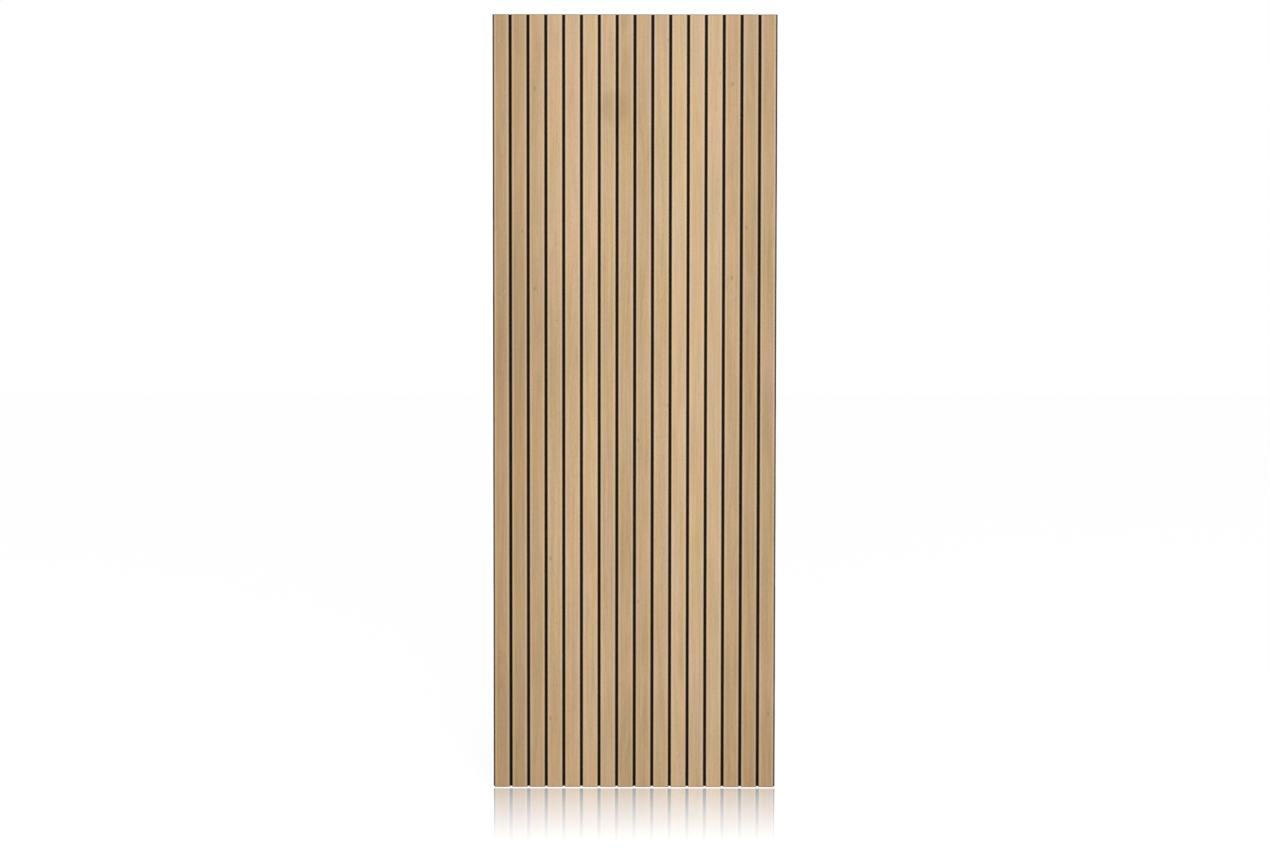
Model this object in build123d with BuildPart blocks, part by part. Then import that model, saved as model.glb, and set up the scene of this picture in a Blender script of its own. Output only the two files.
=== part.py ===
from build123d import *
import os

# Acoustic slat wall panel: oak-veneered slats of black-dyed board, stapled side by side
# through a board of black needle-punched felt. The felt lies on the wall and shows as a
# dark line in each gap between the slats, and half a gap wide at both outer edges, so that
# the next panel carries the rhythm of the slats on.
#
# Millimetres. The origin is the centre of the felt's wall side. +X runs to the right as seen
# from the room, +Z up, and the oak faces look along -Y, into the room.

# Slats and the gaps between them
slat_count = 16
slat_width = 32.0
slat_gap = 5.5
panel_height = 1640.0

# Layers, from the wall to the room
felt_thickness = 9.0
core_thickness = 11.4
veneer_thickness = 0.6

# Sanded edge along both long sides of each oak face
veneer_arris = 0.4

# Flat-wire staples, shot through the felt from behind, the crown laid across the slat
staple_rows = 5
staple_end_margin = 40.0
crown_width = 12.8
wire_thickness = 0.65
wire_width = 0.95
bend_flat = 0.45
chisel_length = 1.2
crown_sink = 0.5
tip_cover = 3.9

# Sizes that follow from the ones above
slat_pitch = slat_width + slat_gap
panel_width = slat_count * slat_pitch
slat_centres = [(index - (slat_count - 1) / 2) * slat_pitch for index in range(slat_count)]

half_crown = crown_width / 2
inner_half = half_crown - wire_thickness
crown_depth = crown_sink + wire_thickness
tip_depth = felt_thickness + core_thickness - tip_cover
row_spacing = (panel_height - 2 * staple_end_margin) / (staple_rows - 1)

# The faces on which the layers are laid, one on the other. Each plane looks into the room,
# with its own x to the right and its own y up.
wall_side = Plane.XZ
felt_front = wall_side.offset(felt_thickness)
core_front = felt_front.offset(core_thickness)

# Each row's staples stand one wire width up from their own level plane
row_planes = [
    Plane.XY.offset((index - (staple_rows - 1) / 2) * row_spacing - wire_width / 2)
    for index in range(staple_rows)
]

os.makedirs("parts", exist_ok=True)


# The seat that a staple cuts for itself, seen from above, its right half drawn and mirrored:
# a slot for the crown, open to the wall, and a hole for each leg, as deep as its point. The
# wire is driven in, so there is no clearance round it.
with BuildSketch() as staple_seat:
    with BuildLine():
        Polyline(
            (0, 0),
            (half_crown, 0),
            (half_crown, -tip_depth),
            (inner_half, -tip_depth),
            (inner_half, -crown_depth),
            (0, -crown_depth),
        )
        mirror(about=Plane.YZ)
    make_face()


# The felt board, as wide as all the slats with their gaps. Each crown is pulled a little
# below its wall side, so that the board still lies flat on the wall.
with BuildPart() as felt_backing:
    with BuildSketch(wall_side):
        Rectangle(panel_width, panel_height)
    extrude(amount=felt_thickness)
    with BuildSketch(*row_planes):
        with GridLocations(slat_pitch, 0, slat_count, 1):
            add(staple_seat.sketch)
    extrude(amount=wire_width, clean=False, mode=Mode.SUBTRACT)

felt_backing.part.label = "felt_backing"
export_step(felt_backing.part, "parts/felt_backing.step")


# A slat is two pieces: the core of dyed board, and the leaf of oak glued to its face. The
# leaf's long edges are eased by sanding, and both ends are left as the saw cut them.
for number, slat_x in enumerate(slat_centres, start=1):
    with BuildPart() as slat_core:
        with BuildSketch(felt_front):
            with Locations((slat_x, 0)):
                Rectangle(slat_width, panel_height)
        extrude(amount=core_thickness)
        with BuildSketch(*row_planes):
            with Locations((slat_x, 0)):
                add(staple_seat.sketch)
        extrude(amount=wire_width, clean=False, mode=Mode.SUBTRACT)

    slat_core.part.label = f"slat_core_{number:02d}"
    export_step(slat_core.part, f"parts/{slat_core.part.label}.step")

    with BuildPart() as slat_veneer:
        with BuildSketch(core_front):
            with Locations((slat_x, 0)):
                Rectangle(slat_width, panel_height)
        extrude(amount=veneer_thickness)
        room_side = slat_veneer.faces().sort_by(Axis.Y)[0]
        chamfer(room_side.edges().filter_by(Axis.Z), length=veneer_arris)

    slat_veneer.part.label = f"slat_veneer_{number:02d}"
    export_step(slat_veneer.part, f"parts/{slat_veneer.part.label}.step")


# One staple seen from above, again half drawn and mirrored: the crown with the flat that the
# bend leaves at its corner, and the leg, cut to a chisel point.
with BuildSketch() as staple_outline:
    with BuildLine():
        Polyline(
            (0, -crown_sink),
            (half_crown - bend_flat, -crown_sink),
            (half_crown, -crown_sink - bend_flat),
            (half_crown, -tip_depth),
            (inner_half, -tip_depth + chisel_length),
            (inner_half, -crown_depth),
            (0, -crown_depth),
        )
        mirror(about=Plane.YZ)
    make_face()

# All the staples, one for each slat in every row
with BuildPart() as staples:
    with BuildSketch(*row_planes):
        with GridLocations(slat_pitch, 0, slat_count, 1):
            add(staple_outline.sketch)
    extrude(amount=wire_width, clean=False)

staples.part.label = "staples"
export_step(staples.part, "parts/staples.step")
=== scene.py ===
# %% [markdown]
# # An oak slat wall panel
#
# Sixteen upright slats of black-dyed fibreboard, each with a thin leaf of oak glued to its
# face, are stapled side by side onto a board of black felt. The felt lies on the wall. From
# the room it shows only as a dark line in each gap, and half a gap wide at both outer edges.
#
# The solids come from the measured model: Blender loads them as a fixed frame, in metres.
# This lesson dresses them: it makes the oak leaves, the felt and the staples again with the
# small detail that the eye expects, and gives the slats' cores their dyed, sawn finish.

# %% Load the frame
import math
import random

import bmesh
import bpy
from mathutils import Matrix, Vector


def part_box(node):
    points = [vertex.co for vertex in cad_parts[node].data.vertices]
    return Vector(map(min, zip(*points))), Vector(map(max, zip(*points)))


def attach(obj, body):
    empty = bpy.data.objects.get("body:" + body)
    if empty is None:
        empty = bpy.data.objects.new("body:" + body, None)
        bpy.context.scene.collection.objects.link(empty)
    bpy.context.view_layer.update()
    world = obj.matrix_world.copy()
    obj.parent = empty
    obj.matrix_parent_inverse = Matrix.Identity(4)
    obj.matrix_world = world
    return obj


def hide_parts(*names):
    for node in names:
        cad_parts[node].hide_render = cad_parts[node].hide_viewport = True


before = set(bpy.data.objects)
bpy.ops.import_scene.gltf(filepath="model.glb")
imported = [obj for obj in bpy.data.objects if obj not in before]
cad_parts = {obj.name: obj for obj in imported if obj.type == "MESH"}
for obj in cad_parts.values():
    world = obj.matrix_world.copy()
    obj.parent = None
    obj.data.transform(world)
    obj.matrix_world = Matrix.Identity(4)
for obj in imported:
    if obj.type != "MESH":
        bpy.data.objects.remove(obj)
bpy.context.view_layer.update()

scene = bpy.context.scene
scene.view_settings.view_transform = "Standard"

# %% [markdown]
# ## Sizes
#
# The pieces' outer sizes are read from the frame's own boxes, so that a piece made here sits
# exactly where its solid sits. Small ones, such as the staples' wire, are written down where
# they are first needed. The slats repeat at one pitch, and most patterns below need it too.

# %% Measure the frame
MM = 0.001

felt_low, felt_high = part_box("felt_backing")
first_low, first_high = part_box("slat_veneer_01")
second_low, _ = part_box("slat_veneer_02")
staple_low, staple_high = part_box("staples")

slat_numbers = range(1, 17)
slat_width = first_high.x - first_low.x
slat_pitch = second_low.x - first_low.x
half_gap = (slat_pitch - slat_width) / 2
leaf_thickness = first_high.y - first_low.y
panel_height = felt_high.z - felt_low.z
oak_face = first_low.y


def slat_x(number):
    """The middle of a slat, counted from 1 at the left."""
    return (number - (len(slat_numbers) + 1) / 2) * slat_pitch


print(f"slats {slat_width / MM:.1f} mm wide at {slat_pitch / MM:.1f} mm, leaf {leaf_thickness / MM:.2f} mm thick")

# %% [markdown]
# ## Two helpers
#
# Colours are written as the hex values that a paint chart or a picture editor shows. Those are
# sRGB values, and Blender's sockets want linear light, so one function turns them.
#
# The other helper adds one node to a tree, with its settings, and fills its inputs: a value is
# written into the input, and another node's output is linked to it.


# %% Colour and node helpers
def linear(hex_colour):
    """Turn an sRGB hex colour into the linear RGBA that Blender's sockets take."""
    channels = [int(hex_colour[i:i + 2], 16) / 255 for i in (1, 3, 5)]
    return tuple(c / 12.92 if c <= 0.04045 else ((c + 0.055) / 1.055) ** 2.4 for c in channels) + (1.0,)


def add(tree, kind, inputs=None, **settings):
    """Add one node with its settings; fill its inputs, named or counted, with values or links."""
    node = tree.nodes.new(kind)
    for name, value in settings.items():
        setattr(node, name, value)
    for key, value in (inputs or {}).items():
        if isinstance(key, int):
            socket = node.inputs[key]
        else:
            socket = next(s for s in node.inputs if s.name == key and s.enabled)
        if isinstance(value, bpy.types.NodeSocket):
            tree.links.new(value, socket)
        else:
            socket.default_value = value
    return node


print("a middle grey, #808080, is", round(linear("#808080")[0], 3), "in linear light")

# %% [markdown]
# ## The oak
#
# The leaf is sliced white oak, 0.6 mm thick, sanded and sealed with a matt clear lacquer. What
# the eye gets from that, from far to near:
#
# - each slat has its own tone, because the leaves come from different boards;
# - soft lines run the slat's whole length, where spring wood and summer wood were cut through,
#   and here and there they close to a long narrow arch;
# - darker dashes a few millimetres long are the open pores, and pale ones are the rays.
#
# It could be painted sixteen times over, once for each slat. One material does all of them
# here: it counts the slats from Object coordinates, and a slat's number picks its tone and
# moves it to its own place in the grain.


# %% Oak: which slat, and where on it
def start_material(name):
    """A new material with its shader and its output, ready for a pattern."""
    material = bpy.data.materials.new(name)
    material.use_nodes = True
    material.node_tree.nodes.clear()
    tree = material.node_tree
    shader = add(tree, "ShaderNodeBsdfPrincipled")
    add(tree, "ShaderNodeOutputMaterial", {"Surface": shader.outputs["BSDF"]})
    return material, tree, shader


oak, tree, shader = start_material("sliced_oak_under_matt_lacquer")

# With this seed, light and dark leaves follow each other as they do on this panel.
LEAF_SEED = 944282.0
# Each leaf reads the grain at a place of its own, up to this many metres from the others'.
LEAF_SHIFT = (7.0, 3.0, 40.0)

place = add(tree, "ShaderNodeTexCoord").outputs["Object"]
axes = add(tree, "ShaderNodeSeparateXYZ", {"Vector": place})
across, up = axes.outputs["X"], axes.outputs["Z"]
pitches = add(tree, "ShaderNodeMath", {0: across, 1: 1 / slat_pitch, 2: len(slat_numbers) / 2},
              operation="MULTIPLY_ADD").outputs[0]
slats_passed = add(tree, "ShaderNodeMath", {0: pitches}, operation="FLOOR").outputs[0]
leaf_number = add(tree, "ShaderNodeMath", {0: slats_passed, 1: LEAF_SEED}, operation="ADD").outputs[0]
leaf_chance = add(tree, "ShaderNodeTexWhiteNoise", {"W": leaf_number}, noise_dimensions="1D").outputs["Color"]
leaf_tone = add(tree, "ShaderNodeSeparateColor", {"Color": leaf_chance}).outputs["Red"]
leaf_shift = add(tree, "ShaderNodeVectorMath", {0: leaf_chance, 1: LEAF_SHIFT}, operation="MULTIPLY").outputs[0]
grain_place = add(tree, "ShaderNodeVectorMath", {0: place, 1: leaf_shift}, operation="ADD").outputs[0]
print(oak.name, "tells", len(slat_numbers), "leaves apart")

# %% [markdown]
# Wood is long one way and narrow the other. A noise whose coordinates are squeezed along the
# slat gives streaks, so one table of streaks makes all the patterns of the grain.
#
# The hills are a slow, very long noise whose contour lines are the year rings: they run up the
# slat, and close to arches where the noise has a hill. Bands and lines are the wood's growth,
# and finer ones would not show from across a room. Pores have their real width, 0.3 mm, while
# rays and flecks are drawn about twice as wide as real ones, or they would not show.

# %% Oak: the grain's patterns
# Each streak's width and length in millimetres, how many finer layers it has, and their share.
STREAKS = {
    "hills": (30.0, 500.0, 1.0, 0.35),
    "bands": (6.0, 260.0, 3.0, 0.55),
    "lines": (2.4, 75.0, 2.0, 0.60),
    "drift": (45.0, 200.0, 2.0, 0.50),
    "hues": (9.0, 240.0, 2.0, 0.50),
    "pores": (0.30, 5.0, 1.0, 0.50),
    "rays": (1.1, 9.0, 1.0, 0.50),
    "flecks": (1.5, 14.0, 1.0, 0.50),
}
# In radians, from the lowest to the highest place of the hills: about ten rings.
RING_TURNS = 62.0

grain = {}
for name, (width, length, layers, share) in STREAKS.items():
    narrow, lengthwise = 1 / (width * MM), 1 / (length * MM)
    squeezed = add(tree, "ShaderNodeVectorMath", {0: grain_place, 1: (narrow, narrow, lengthwise)},
                   operation="MULTIPLY")
    grain[name] = add(tree, "ShaderNodeTexNoise", {"Vector": squeezed.outputs[0], "Scale": 1.0,
                      "Detail": layers, "Roughness": share}).outputs

turns = add(tree, "ShaderNodeMath", {0: grain["hills"]["Fac"], 1: RING_TURNS}, operation="MULTIPLY").outputs[0]
rings = add(tree, "ShaderNodeMath", {0: turns}, operation="SINE").outputs[0]
print("patterns in the grain:", ", ".join(grain))

# %% [markdown]
# The patterns are now added up to one number, the oak's tone, in which 1 is the mean. Most of
# what the eye sees from across a room is in it: the bands, and how light each leaf is.

# %% Oak: how light it is
# Each pattern with its middle and its strength. Counted from their middles, they leave the
# mean colour as it is written.
TONE_PARTS = [
    (rings, 0.0, 0.036),
    (grain["bands"]["Fac"], 0.5, 0.46),
    (grain["lines"]["Fac"], 0.5, 0.18),
    (grain["drift"]["Fac"], 0.5, 0.30),
    (leaf_tone, 0.585, 0.26),
]
tone = 1.0
for pattern, middle, strength in TONE_PARTS:
    centred = add(tree, "ShaderNodeMath", {0: pattern, 1: middle}, operation="SUBTRACT").outputs[0]
    tone = add(tree, "ShaderNodeMath", {0: centred, 1: strength, 2: tone}, operation="MULTIPLY_ADD").outputs[0]
print(len(TONE_PARTS), "patterns make the tone")

# %% [markdown]
# Three things are painted into the oak's tone. The leaves at both sides are darker than those in the
# middle, and half-way up at the left a tall patch is darker still: both are painted shade. A
# faint grey-brown spot, darker than the oak round it, lies across two slats near the head.

# %% Oak: painted shade at the sides and at the left, and a darker spot
# The painted shade at the sides: the tone is highest at BRIGHTEST_X and falls off with the square of the distance from
# it.
BRIGHTEST_X = 20 * MM
TONE_THERE = 1.09
SIDE_SHADE_LOSS = 3.1
# Each patch: the x and z of its middle, how far it is full, where it ends, and its tone. The left side's patch is
# painted shade.
DARKER_PATCHES = {
    "left side": (-0.34, 0.13, 0.0, 0.42, 0.87),
    "darker_spot": (-0.046, 0.626, 0.018, 0.047, 0.83),
}

off_middle = add(tree, "ShaderNodeMath", {0: across, 1: BRIGHTEST_X}, operation="SUBTRACT").outputs[0]
off_squared = add(tree, "ShaderNodeMath", {0: off_middle, 1: off_middle}, operation="MULTIPLY").outputs[0]
painted_side_shade = add(tree, "ShaderNodeMath", {0: off_squared, 1: -SIDE_SHADE_LOSS, 2: TONE_THERE}, operation="MULTIPLY_ADD")
tone = add(tree, "ShaderNodeMath", {0: tone, 1: painted_side_shade.outputs[0]}, operation="MULTIPLY").outputs[0]
for x, z, full, reach, patch_tone in DARKER_PATCHES.values():
    away = add(tree, "ShaderNodeVectorMath", {0: place, 1: (x, oak_face, z)}, operation="DISTANCE").outputs["Value"]
    patch = add(tree, "ShaderNodeMapRange", {"Value": away, "From Min": full, "From Max": reach,
                "To Min": patch_tone, "To Max": 1.0}, interpolation_type="SMOOTHSTEP")
    tone = add(tree, "ShaderNodeMath", {0: tone, 1: patch.outputs["Result"]}, operation="MULTIPLY").outputs[0]
print("patches:", ", ".join(DARKER_PATCHES))

# %% [markdown]
# Light oak is not only lighter but also greyer than dark oak, so a colour ramp turns the tone
# to a colour. Two slow drifts then change its hue and not its tone, from a golden oak to a
# greyer one: one moves red, and one moves blue, against green.

# %% Oak: colour
DARK_OAK, MIDDLE_OAK, LIGHT_OAK = linear("#9f8057"), linear("#c3a278"), linear("#ddbc94")
DARKEST, LIGHTEST = 0.6, 1.4
# How far the drifts move red and blue, and how much redder the painted shade makes the leaves at the sides.
RED_RANGE, BLUE_RANGE = (0.92, 1.08), (0.79, 1.19)
SIDE_SHADE_RED, RED_THERE = 0.25, 0.997

in_ramp = add(tree, "ShaderNodeMapRange", {"Value": tone, "From Min": DARKEST, "From Max": LIGHTEST}).outputs["Result"]
oak_ramp = add(tree, "ShaderNodeValToRGB", {"Fac": in_ramp})
oak_stops = oak_ramp.color_ramp.elements
oak_stops[0].color = DARK_OAK
oak_stops[1].color = LIGHT_OAK
oak_stops.new(0.5).color = MIDDLE_OAK

drifts = add(tree, "ShaderNodeSeparateColor", {"Color": grain["hues"]["Color"]})
casts = []
for channel, (least, most) in (("Red", RED_RANGE), ("Green", BLUE_RANGE)):
    cast = add(tree, "ShaderNodeMapRange", {"Value": drifts.outputs[channel], "From Min": 0.25, "From Max": 0.75,
               "To Min": least, "To Max": most})
    casts.append(cast.outputs["Result"])
side_shade_red = add(tree, "ShaderNodeMath", {0: off_squared, 1: SIDE_SHADE_RED, 2: RED_THERE}, operation="MULTIPLY_ADD")
red = add(tree, "ShaderNodeMath", {0: casts[0], 1: side_shade_red.outputs[0]}, operation="MULTIPLY").outputs[0]
hue = add(tree, "ShaderNodeCombineXYZ", {"X": red, "Y": 1.0, "Z": casts[1]}).outputs[0]
oak_colour = add(tree, "ShaderNodeVectorMath", {0: oak_ramp.outputs["Color"], 1: hue}, operation="MULTIPLY").outputs[0]
print("oak from", [round(c, 3) for c in DARK_OAK[:3]], "to", [round(c, 3) for c in LIGHT_OAK[:3]])

# %% [markdown]
# Small marks lie on that colour. Pores, rays and flecks show where their own noise is high.
# A few pin knots, some 6 mm across, come from a loose mosaic in which one cell in twenty-five
# has one.

# %% Oak: pores, rays, flecks and pin knots
PORE, RAY = linear("#8a6643"), linear("#dcc39c")
# Where in its noise a mark starts, where it is full, and how strongly it shows then.
MARKS = {"pores": (0.60, 0.72, 0.55), "rays": (0.66, 0.78, 0.45), "flecks": (0.66, 0.78, 0.35)}
KNOT_CELL = (35 * MM, 60 * MM)
KNOT_CHANCE = 0.96
# In cells of the mosaic: a knot's dark heart, and the end of its halo.
KNOT_HEART, KNOT_END, KNOT_STRENGTH = 0.01, 0.12, 0.55

amounts = {}
for name, (starts, full, strength) in MARKS.items():
    amounts[name] = add(tree, "ShaderNodeMapRange", {"Value": grain[name]["Fac"], "From Min": starts,
                        "From Max": full, "To Min": 0.0, "To Max": strength}).outputs["Result"]

grain_axes = add(tree, "ShaderNodeSeparateXYZ", {"Vector": grain_place}).outputs
cells = [add(tree, "ShaderNodeMath", {0: grain_axes[axis], 1: 1 / size}, operation="MULTIPLY").outputs[0]
         for axis, size in zip(("X", "Z"), KNOT_CELL)]
in_mosaic = add(tree, "ShaderNodeCombineXYZ", {"X": cells[0], "Y": cells[1]}).outputs[0]
mosaic = add(tree, "ShaderNodeTexVoronoi", {"Vector": in_mosaic, "Scale": 1.0}, voronoi_dimensions="2D").outputs
cell_chance = add(tree, "ShaderNodeSeparateColor", {"Color": mosaic["Color"]}).outputs["Red"]
has_knot = add(tree, "ShaderNodeMath", {0: cell_chance, 1: KNOT_CHANCE}, operation="GREATER_THAN").outputs[0]
near_knot = add(tree, "ShaderNodeMapRange", {"Value": mosaic["Distance"], "From Min": KNOT_HEART,
                "From Max": KNOT_END, "To Min": KNOT_STRENGTH, "To Max": 0.0},
                interpolation_type="SMOOTHSTEP").outputs["Result"]
amounts["knots"] = add(tree, "ShaderNodeMath", {0: has_knot, 1: near_knot}, operation="MULTIPLY").outputs[0]
print("marks on the oak:", ", ".join(amounts))

# %% [markdown]
# Every long edge has painted shade, a dark rim a millimetre wide beside the gap, with a painted
# highlight, a paler line, beside it. Both are one colour ramp that runs inwards from the slat's
# edge. Its colour says what lies on the oak, and its alpha how thickly. Both ends get a thin
# dark line.

# %% Oak: painted shade and highlight at the edges, dark lines at the ends
# The painted shade at the long edges, also the colour of the dark lines at the ends, and the painted highlight.
EDGE_SHADE_AND_END_LINE, PAINTED_HIGHLIGHT = linear("#50301a"), linear("#e6d6be")
EDGE_REACH = 8.0 * MM
SHADE_AT_EDGE = 0.80
# Millimetres from the edge, the colour there, and how thickly it lies.
EDGE_STOPS = [(0.8, EDGE_SHADE_AND_END_LINE, 0.45), (1.5, EDGE_SHADE_AND_END_LINE, 0.0), (1.6, PAINTED_HIGHLIGHT, 0.0),
              (2.5, PAINTED_HIGHLIGHT, 0.42), (3.4, PAINTED_HIGHLIGHT, 0.34), (5.0, PAINTED_HIGHLIGHT, 0.04)]
# A thin dark line at both ends of each slat: where it starts, where it is full, and how strongly it shows.
END_LINE_STARTS, END_LINE_FULL, END_LINE_STRENGTH = 2.4 * MM, 0.6 * MM, 0.55

in_pitch = add(tree, "ShaderNodeMath", {0: pitches}, operation="FRACT").outputs[0]
from_middle = add(tree, "ShaderNodeMath", {0: in_pitch, 1: 0.5}, operation="SUBTRACT").outputs[0]
from_middle = add(tree, "ShaderNodeMath", {0: from_middle}, operation="ABSOLUTE").outputs[0]
inwards = add(tree, "ShaderNodeMapRange", {"Value": from_middle, "From Min": slat_width / 2 / slat_pitch,
              "From Max": (slat_width / 2 - EDGE_REACH) / slat_pitch}).outputs["Result"]
edge = add(tree, "ShaderNodeValToRGB", {"Fac": inwards})
edge_light_ramp = edge.color_ramp.elements
edge_light_ramp[0].color = (*EDGE_SHADE_AND_END_LINE[:3], SHADE_AT_EDGE)
edge_light_ramp[1].color = (*PAINTED_HIGHLIGHT[:3], 0.0)
for from_edge, colour, amount in EDGE_STOPS:
    edge_light_ramp.new(from_edge * MM / EDGE_REACH).color = (*colour[:3], amount)

from_centre = add(tree, "ShaderNodeMath", {0: up}, operation="ABSOLUTE").outputs[0]
dark_end_line = add(tree, "ShaderNodeMapRange", {"Value": from_centre, "From Min": panel_height / 2 - END_LINE_STARTS,
             "From Max": panel_height / 2 - END_LINE_FULL, "To Min": 0.0, "To Max": END_LINE_STRENGTH}).outputs["Result"]
print(len(edge_light_ramp), "stops in", EDGE_REACH / MM, "mm of edge")

# %% [markdown]
# The marks are laid over the oak one after the other, as glazes would be. Over them lies the
# lacquer: a broad, weak shine, a little uneven. The relief under it is only the pores' own
# depth, well under a tenth of a millimetre.

# %% Oak: glazes and lacquer
GLAZES = [
    (amounts["pores"], PORE),
    (amounts["rays"], RAY),
    (amounts["knots"], PORE),
    (amounts["flecks"], PORE),
    # The painted edge shade and highlight, then the dark lines at the ends.
    (edge.outputs["Alpha"], edge.outputs["Color"]),
    (dark_end_line, EDGE_SHADE_AND_END_LINE),
]
surface = oak_colour
for amount, colour in GLAZES:
    surface = add(tree, "ShaderNodeMix", {"Factor": amount, 6: surface, 7: colour}, data_type="RGBA").outputs[2]
tree.links.new(surface, shader.inputs["Base Color"])

shine = add(tree, "ShaderNodeMapRange", {"Value": grain["bands"]["Fac"], "From Min": 0.3, "From Max": 0.7,
            "To Min": 0.50, "To Max": 0.60}).outputs["Result"]
tree.links.new(shine, shader.inputs["Roughness"])
relief = add(tree, "ShaderNodeMath", {0: amounts["pores"], 1: -1.0, 2: grain["lines"]["Fac"]},
             operation="MULTIPLY_ADD").outputs[0]
bump = add(tree, "ShaderNodeBump", {"Strength": 0.35, "Distance": 0.08 * MM, "Height": relief})
tree.links.new(bump.outputs["Normal"], shader.inputs["Normal"])
shader.inputs["IOR"].default_value = 1.5
print(oak.name, "has", len(tree.nodes), "nodes and", len(GLAZES), "glazes")

# %% [markdown]
# ## The cores' board
#
# The slats' cores are medium-density fibreboard, dyed black through and through, then ripped on
# a saw. It is matt and not quite black: the dyed fibres scatter a little brown light, and the
# saw leaves faint lines across the cut, 4 mm apart. The fibres are drawn some ten times as
# coarse as real ones, or they would not show. The cores' shape is right as it comes from the
# frame, so they only get this material.

# %% Dyed board
dyed_board, tree, shader = start_material("black_dyed_fibreboard_sawn")
BOARD_DARK, BOARD_LIGHT = linear("#180d07"), linear("#3d281a")
BOARD_FIBRE, BOARD_CLUMP = 0.9 * MM, 20.0 * MM
# Blender's wave repeats every 0.314 units, so 80 units a metre give a line every 4 mm.
SAW_LINES = (0.0, 9.0, 80.0)

place = add(tree, "ShaderNodeTexCoord").outputs["Object"]
fibre = add(tree, "ShaderNodeTexNoise", {"Vector": place, "Scale": 1 / BOARD_FIBRE, "Detail": 4.0,
            "Roughness": 0.65}).outputs["Fac"]
clump = add(tree, "ShaderNodeTexNoise", {"Vector": place, "Scale": 1 / BOARD_CLUMP, "Detail": 2.0}).outputs["Fac"]
board_tone = add(tree, "ShaderNodeMath", {0: clump, 1: 0.35, 2: fibre}, operation="MULTIPLY_ADD").outputs[0]
board_ramp = add(tree, "ShaderNodeValToRGB", {"Fac": board_tone})
for stop, position, colour in zip(board_ramp.color_ramp.elements, (0.40, 0.95), (BOARD_DARK, BOARD_LIGHT)):
    stop.position, stop.color = position, colour
tree.links.new(board_ramp.outputs["Color"], shader.inputs["Base Color"])

saw_place = add(tree, "ShaderNodeMapping", {"Vector": place, "Scale": SAW_LINES}, vector_type="POINT").outputs[0]
saw_lines = add(tree, "ShaderNodeTexWave", {"Vector": saw_place, "Scale": 1.0, "Distortion": 1.2, "Detail": 2.0,
                "Detail Scale": 1.5}, wave_type="BANDS", bands_direction="Z").outputs["Fac"]
board_relief = add(tree, "ShaderNodeMath", {0: saw_lines, 1: 0.5, 2: fibre}, operation="MULTIPLY_ADD").outputs[0]
bump = add(tree, "ShaderNodeBump", {"Strength": 0.5, "Distance": 0.15 * MM, "Height": board_relief})
tree.links.new(bump.outputs["Normal"], shader.inputs["Normal"])
shader.inputs["Roughness"].default_value = 0.82
shader.inputs["IOR"].default_value = 1.45

for number in slat_numbers:
    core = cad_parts[f"slat_core_{number:02d}"]
    for material_slot in core.material_slots:
        material_slot.material = dyed_board
print(dyed_board.name, "on", len(slat_numbers), "cores")

# %% [markdown]
# ## The felt
#
# The backing is needle-punched polyester felt, 9 mm thick, black with a few grey fibres in the
# mix. Needles have driven the fibres into each other, so the surface is a mat of short curls
# with no direction. It gives back very little light, and what it gives is a soft haze at its
# edges: that is the sheen. Real fibres are 0.03 mm thick, and the noise draws them far coarser,
# or they would not show.

# %% Felt
felt, tree, shader = start_material("needle_punched_polyester_felt")
FELT_DARK, FELT_LIGHT, GREY_FIBRE = linear("#14100c"), linear("#342c25"), linear("#5a5149")
MAT_CURL, GREY_CURL, MAT_PATCH = 1.6 * MM, 2.8 * MM, 35.0 * MM

place = add(tree, "ShaderNodeTexCoord").outputs["Object"]
mat = add(tree, "ShaderNodeTexNoise", {"Vector": place, "Scale": 1 / MAT_CURL, "Detail": 5.0, "Roughness": 0.7,
          "Distortion": 2.4}).outputs["Fac"]
grey_fibres = add(tree, "ShaderNodeTexNoise", {"Vector": place, "Scale": 1 / GREY_CURL, "Detail": 3.0,
                  "Roughness": 0.6, "Distortion": 3.5}).outputs["Fac"]
patches = add(tree, "ShaderNodeTexNoise", {"Vector": place, "Scale": 1 / MAT_PATCH, "Detail": 3.0,
              "Roughness": 0.6}).outputs["Fac"]
mat_tone = add(tree, "ShaderNodeMath", {0: patches, 1: 0.4, 2: mat}, operation="MULTIPLY_ADD").outputs[0]
felt_ramp = add(tree, "ShaderNodeValToRGB", {"Fac": mat_tone})
for stop, position, colour in zip(felt_ramp.color_ramp.elements, (0.46, 0.92), (FELT_DARK, FELT_LIGHT)):
    stop.position, stop.color = position, colour
grey_amount = add(tree, "ShaderNodeMapRange", {"Value": grey_fibres, "From Min": 0.60, "From Max": 0.72,
                  "To Min": 0.0, "To Max": 0.5}).outputs["Result"]
felt_colour = add(tree, "ShaderNodeMix", {"Factor": grey_amount, 6: felt_ramp.outputs["Color"], 7: GREY_FIBRE},
                  data_type="RGBA")
tree.links.new(felt_colour.outputs[2], shader.inputs["Base Color"])
bump = add(tree, "ShaderNodeBump", {"Strength": 0.8, "Distance": 0.6 * MM, "Height": mat})
tree.links.new(bump.outputs["Normal"], shader.inputs["Normal"])
shader.inputs["Roughness"].default_value = 0.95
shader.inputs["Specular IOR Level"].default_value = 0.15
shader.inputs["Sheen Weight"].default_value = 0.12
shader.inputs["Sheen Roughness"].default_value = 0.5
shader.inputs["Sheen Tint"].default_value = linear("#8c7c70")
print(felt.name, "has", len(tree.nodes), "nodes")

# %% [markdown]
# ## The staples' wire
#
# Galvanised steel wire, flattened and cut by the staple maker. Zinc is a bright, slightly blue
# metal that drawing has left with fine lines along the wire. A noise squeezed across the wire
# draws them, and makes it smoother or duller in the same lines.

# %% Wire
galvanised_wire, tree, shader = start_material("galvanised_flat_wire")
ZINC_DULL, ZINC_BRIGHT = linear("#a9adb0"), linear("#cdd0d2")
DRAWN_LINES = (60.0, 4000.0, 6000.0)

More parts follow.
